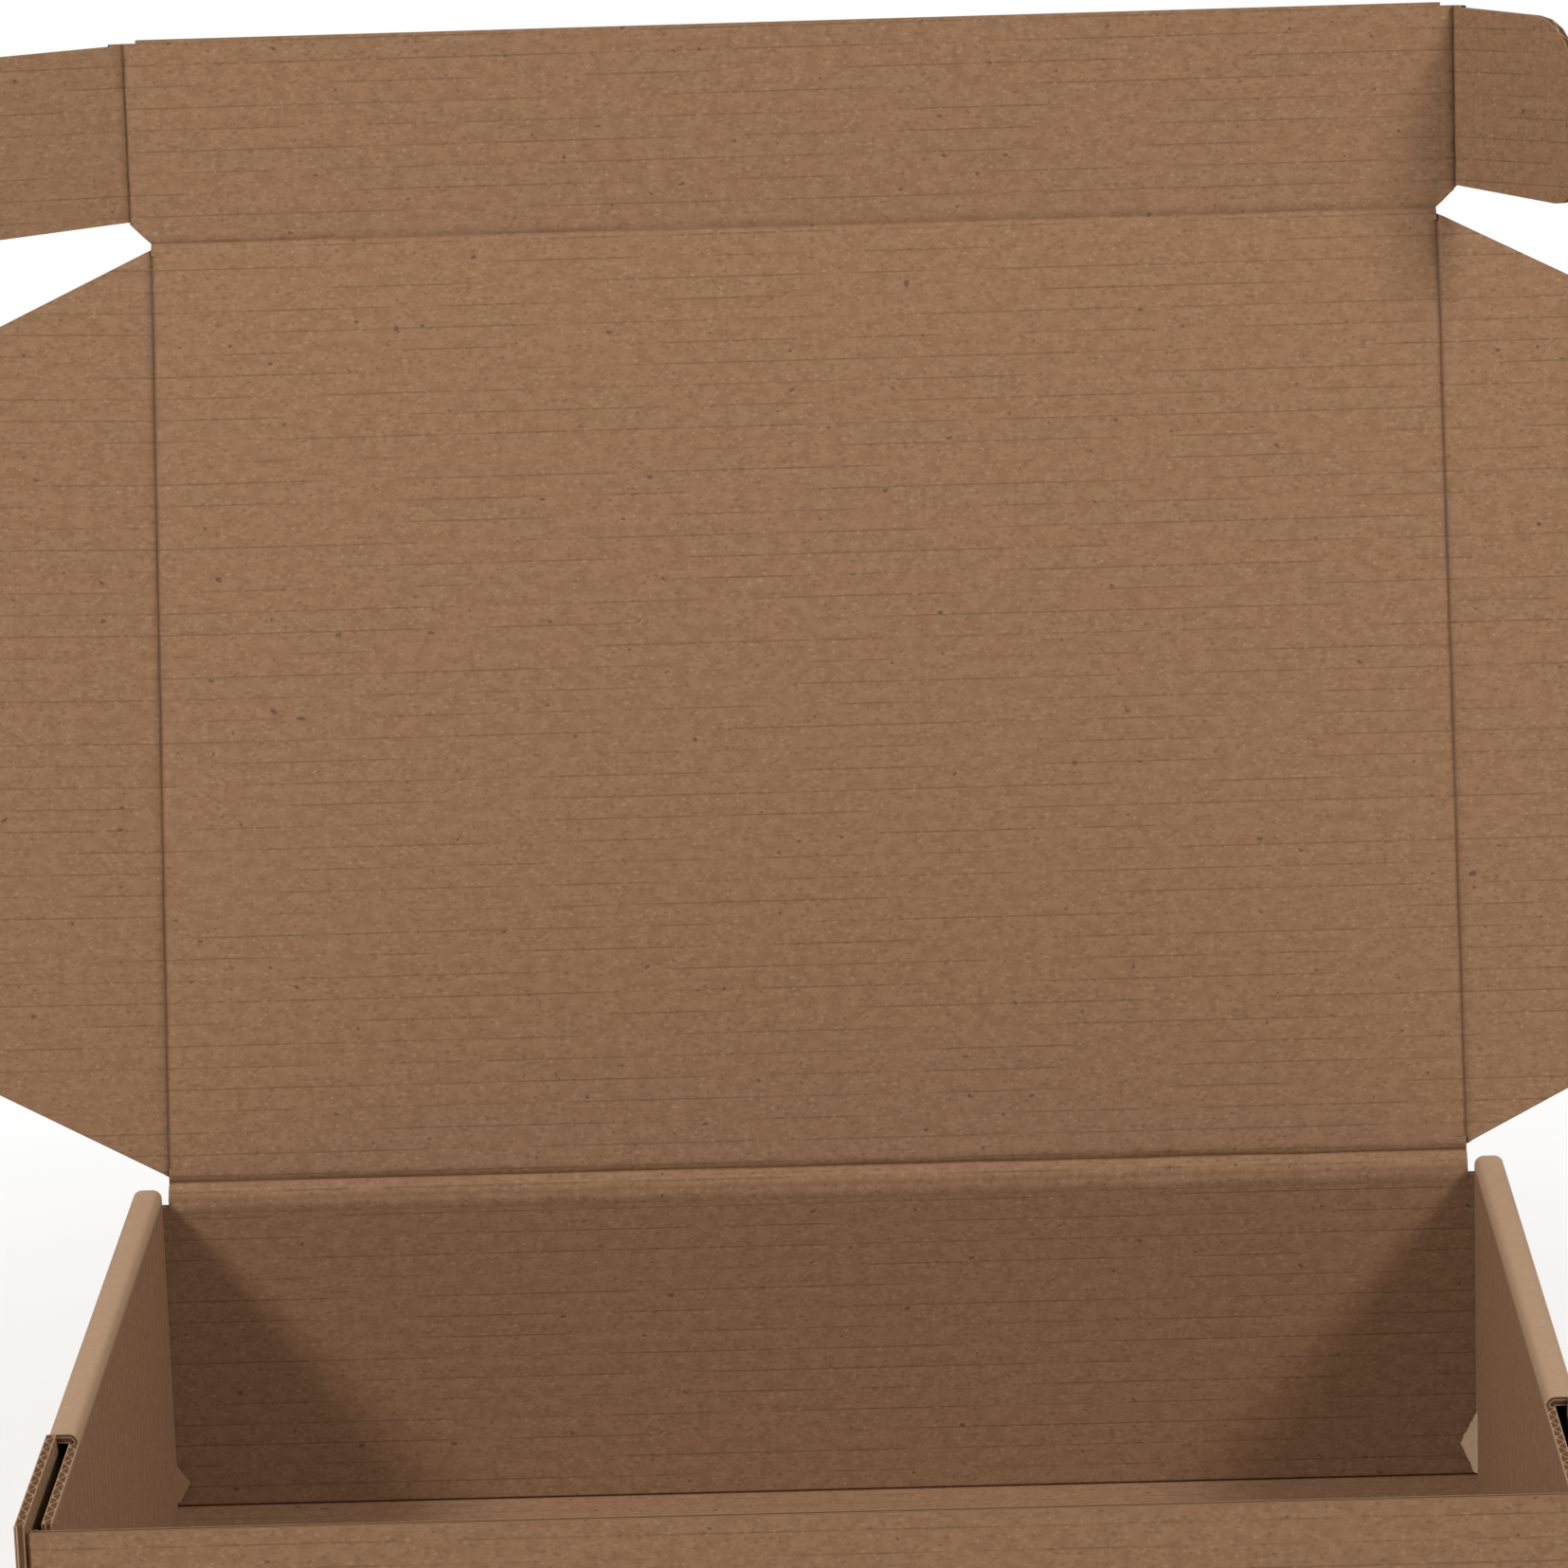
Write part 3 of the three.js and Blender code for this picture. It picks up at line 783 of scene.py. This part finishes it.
class MAILER_OT_ears(bpy.types.Operator):
    """Makes the two ears of the tuck flap with their creases"""
    bl_idname = "mailer.ears"
    bl_label = "Tuck ears"

    def execute(self, context):
        sizes = context.scene.mailer_sizes
        reach = sizes.crease_reach
        inner, outer = EAR_FOLD + reach, EAR_FOLD + EAR_LENGTH
        level = math.hypot(1, EAR_FALL)
        end_low, end_high = EAR_FOOT - EAR_LENGTH * EAR_FALL, EAR_TOP - EAR_END_DROP

        def off(x, y):
            x = abs(x)
            return x - FLAP_FOLD > y if x < EAR_FOLD else y < EAR_FOOT - (x - EAR_FOLD) * EAR_FALL

        for name, side, degrees in EAR_ANGLES:
            piece = start_blank(f"{name}_tuck_ear_board", *sorted((side * inner, side * outer)),
                                0, EAR_TOP)
            foot = (side * EAR_FOLD, EAR_FOOT), (-side * EAR_FALL / level, -1 / level)
            score(*foot, clear_outer=True)
            score((side * outer, end_high), (side * EAR_TOP_FALL, 1), clear_outer=True)
            round_corners(piece, [(side * outer, end_high)], EAR_CORNER)
            round_corners(piece, [(side * outer, end_low)], EAR_LOW_CORNER)
            make_board(piece, sizes.thickness)
            turn_flap(side, EAR_FOLD, degrees)
            finish_board(piece, TUCK_PLACE, f"{name}_tuck_ear", board_materials(context.scene))
            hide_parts(f"{name}_tuck_ear")
            notch = Vector((1, 1)).normalized()
            lines = [((side * FLAP_FOLD, 0), (side * notch.y, -notch.x)), foot]
            make_crease(context, f"{name}_ear_crease_strip",
                        TUCK_PLACE, 0, side * EAR_FOLD, (reach, EAR_TOP), math.radians(degrees),
                        (reach, reach), (lines, off))
        return {"FINISHED"}


# Stage: each lamp's name, place, side in metres and watts, and the camera in metres and degrees.
LAMPS = (("upper_left_softbox", (-1.35, -0.75, 1.5), 0.42, 27),
         ("upper_right_softbox", (1.35, -0.75, 1.5), 0.42, 25),
         ("rear_softbox", (0.3, 2.1, 1.2), 1.0, 26))
LAMP_TARGET = Vector((0, 0.1, 0.15))
CAMERA_PLACE = (0.03216, -1.73682, 0.68477)
CAMERA_TURN = (13.967, 1.1615, -1.8297)  # down, to the left and about its own axis
CAMERA_LENS = 154.48
WHITE_FROM, WHITE_TO = 0.3, 0.7  # metres from the middle, over which the floor fades to white


class MAILER_OT_stage(bpy.types.Operator):
    """Sets the pale floor, the soft lamps and the camera"""
    bl_idname = "mailer.stage"
    bl_label = "Studio"

    def execute(self, context):
        scene = context.scene
        bpy.ops.object.select_all(action="DESELECT")
        bpy.ops.mesh.primitive_plane_add(size=12, location=(0, 0, -0.5 * MM))
        floor = bpy.context.object
        floor.name = "studio_floor"
        floor.data.materials.append(floor_paint(scene.mailer_colours))
        for lamp in LAMPS:
            self.lamp(*lamp)
        white_world(scene)
        self.camera(scene)
        scene.view_settings.view_transform = "Standard"
        return {"FINISHED"}

    def lamp(self, name, place, size, power):
        bpy.ops.object.light_add(type="AREA", location=place)
        lamp = bpy.context.object
        lamp.name = name
        lamp.data.size = size
        lamp.data.energy = power
        aim = LAMP_TARGET - Vector(place)
        lamp.rotation_euler = aim.to_track_quat("-Z", "Y").to_euler()

    def camera(self, scene):
        bpy.ops.object.camera_add(location=CAMERA_PLACE)
        camera = bpy.context.object
        pitch, yaw, roll = (math.radians(v) for v in CAMERA_TURN)
        turned = Matrix.Rotation(yaw, 4, "Z") @ Matrix.Rotation(math.pi / 2 - pitch, 4, "X")
        camera.rotation_euler = (turned @ Matrix.Rotation(roll, 4, "Z")).to_euler()
        camera.data.sensor_width = 36
        camera.data.lens = CAMERA_LENS
        camera.data.clip_start = 0.05
        scene.camera = camera


def seen_directly(tree):
    """1 for what the camera sees, also in gloss and through glass."""
    path = add_node(tree, "ShaderNodeLightPath")
    seen = maths(tree, "MAXIMUM", path.outputs["Is Camera Ray"], path.outputs["Is Glossy Ray"])
    return maths(tree, "MAXIMUM", seen, path.outputs["Is Transmission Ray"])


def floor_paint(colours):
    """Matt studio paint that keeps the object's shadow, and fades to plain white away from it."""
    material = bpy.data.materials.new("matt_studio_paint")
    material.use_nodes = True
    shader = material.node_tree.nodes["Principled BSDF"]
    shader.inputs["Base Color"].default_value = list(colours.floor)
    shader.inputs["Roughness"].default_value = 0.9
    shader.inputs["Specular IOR Level"].default_value = 0.2
    tree = material.node_tree
    white = add_node(tree, "ShaderNodeEmission", {"Color": (1, 1, 1, 1), "Strength": 1.0})
    place = add_node(tree, "ShaderNodeTexCoord")
    away = add_node(tree, "ShaderNodeVectorMath", {0: place.outputs["Object"]}, operation="LENGTH")
    share = add_node(tree, "ShaderNodeMapRange",
                     {"Value": away.outputs["Value"], "From Min": WHITE_FROM, "From Max": WHITE_TO,
                      "To Min": 0.5, "To Max": 1.0}, interpolation_type="SMOOTHSTEP")
    share = maths(tree, "MULTIPLY", share.outputs[0], seen_directly(tree))
    mixed = add_node(tree, "ShaderNodeMixShader",
                     {0: share, 1: shader.outputs[0], 2: white.outputs[0]})
    tree.links.new(mixed.outputs[0], tree.nodes["Material Output"].inputs["Surface"])
    return material


def white_world(scene):
    """A plain white surround for the camera and in gloss, and a soft fill for the rest."""
    world = bpy.data.worlds.new("studio_surround")
    world.use_nodes = True
    scene.world = world
    tree = world.node_tree
    fill = tree.nodes["Background"]
    fill.inputs["Color"].default_value = linear("#FFF0E2")
    fill.inputs["Strength"].default_value = 0.2
    backdrop = add_node(tree, "ShaderNodeBackground", {"Color": (1, 1, 1, 1), "Strength": 1.0})
    mixed = add_node(tree, "ShaderNodeMixShader",
                     {0: seen_directly(tree), 1: fill.outputs[0], 2: backdrop.outputs[0]})
    tree.links.new(mixed.outputs[0], tree.nodes["World Output"].inputs["Surface"])


class MAILER_PT_sidebar(bpy.types.Panel):
    bl_label = "Corrugated mailer"
    bl_space_type = "VIEW_3D"
    bl_region_type = "UI"
    bl_category = "Mailer"

    def draw(self, context):
        for group in (context.scene.mailer_sizes, context.scene.mailer_colours):
            for key in group.__annotations__:
                self.layout.prop(group, key)
        for step in STEPS:
            self.layout.operator(step.bl_idname)


STEPS = (MAILER_OT_tray, MAILER_OT_scuffs, MAILER_OT_band, MAILER_OT_lid, MAILER_OT_lid_flaps,
         MAILER_OT_tuck, MAILER_OT_ears, MAILER_OT_stage)
CLASSES = (BoardSizes, BoardColours, *STEPS, MAILER_PT_sidebar)


def register():
    for cls in CLASSES:
        bpy.utils.register_class(cls)
    bpy.types.Scene.mailer_sizes = bpy.props.PointerProperty(type=BoardSizes)
    bpy.types.Scene.mailer_colours = bpy.props.PointerProperty(type=BoardColours)


def unregister():
    del bpy.types.Scene.mailer_sizes
    del bpy.types.Scene.mailer_colours
    for cls in reversed(CLASSES):
        bpy.utils.unregister_class(cls)


def main():
    register()
    for step in STEPS:
        group, name = step.bl_idname.split(".")
        getattr(getattr(bpy.ops, group), name)()


if __name__ == "__main__":
    main()
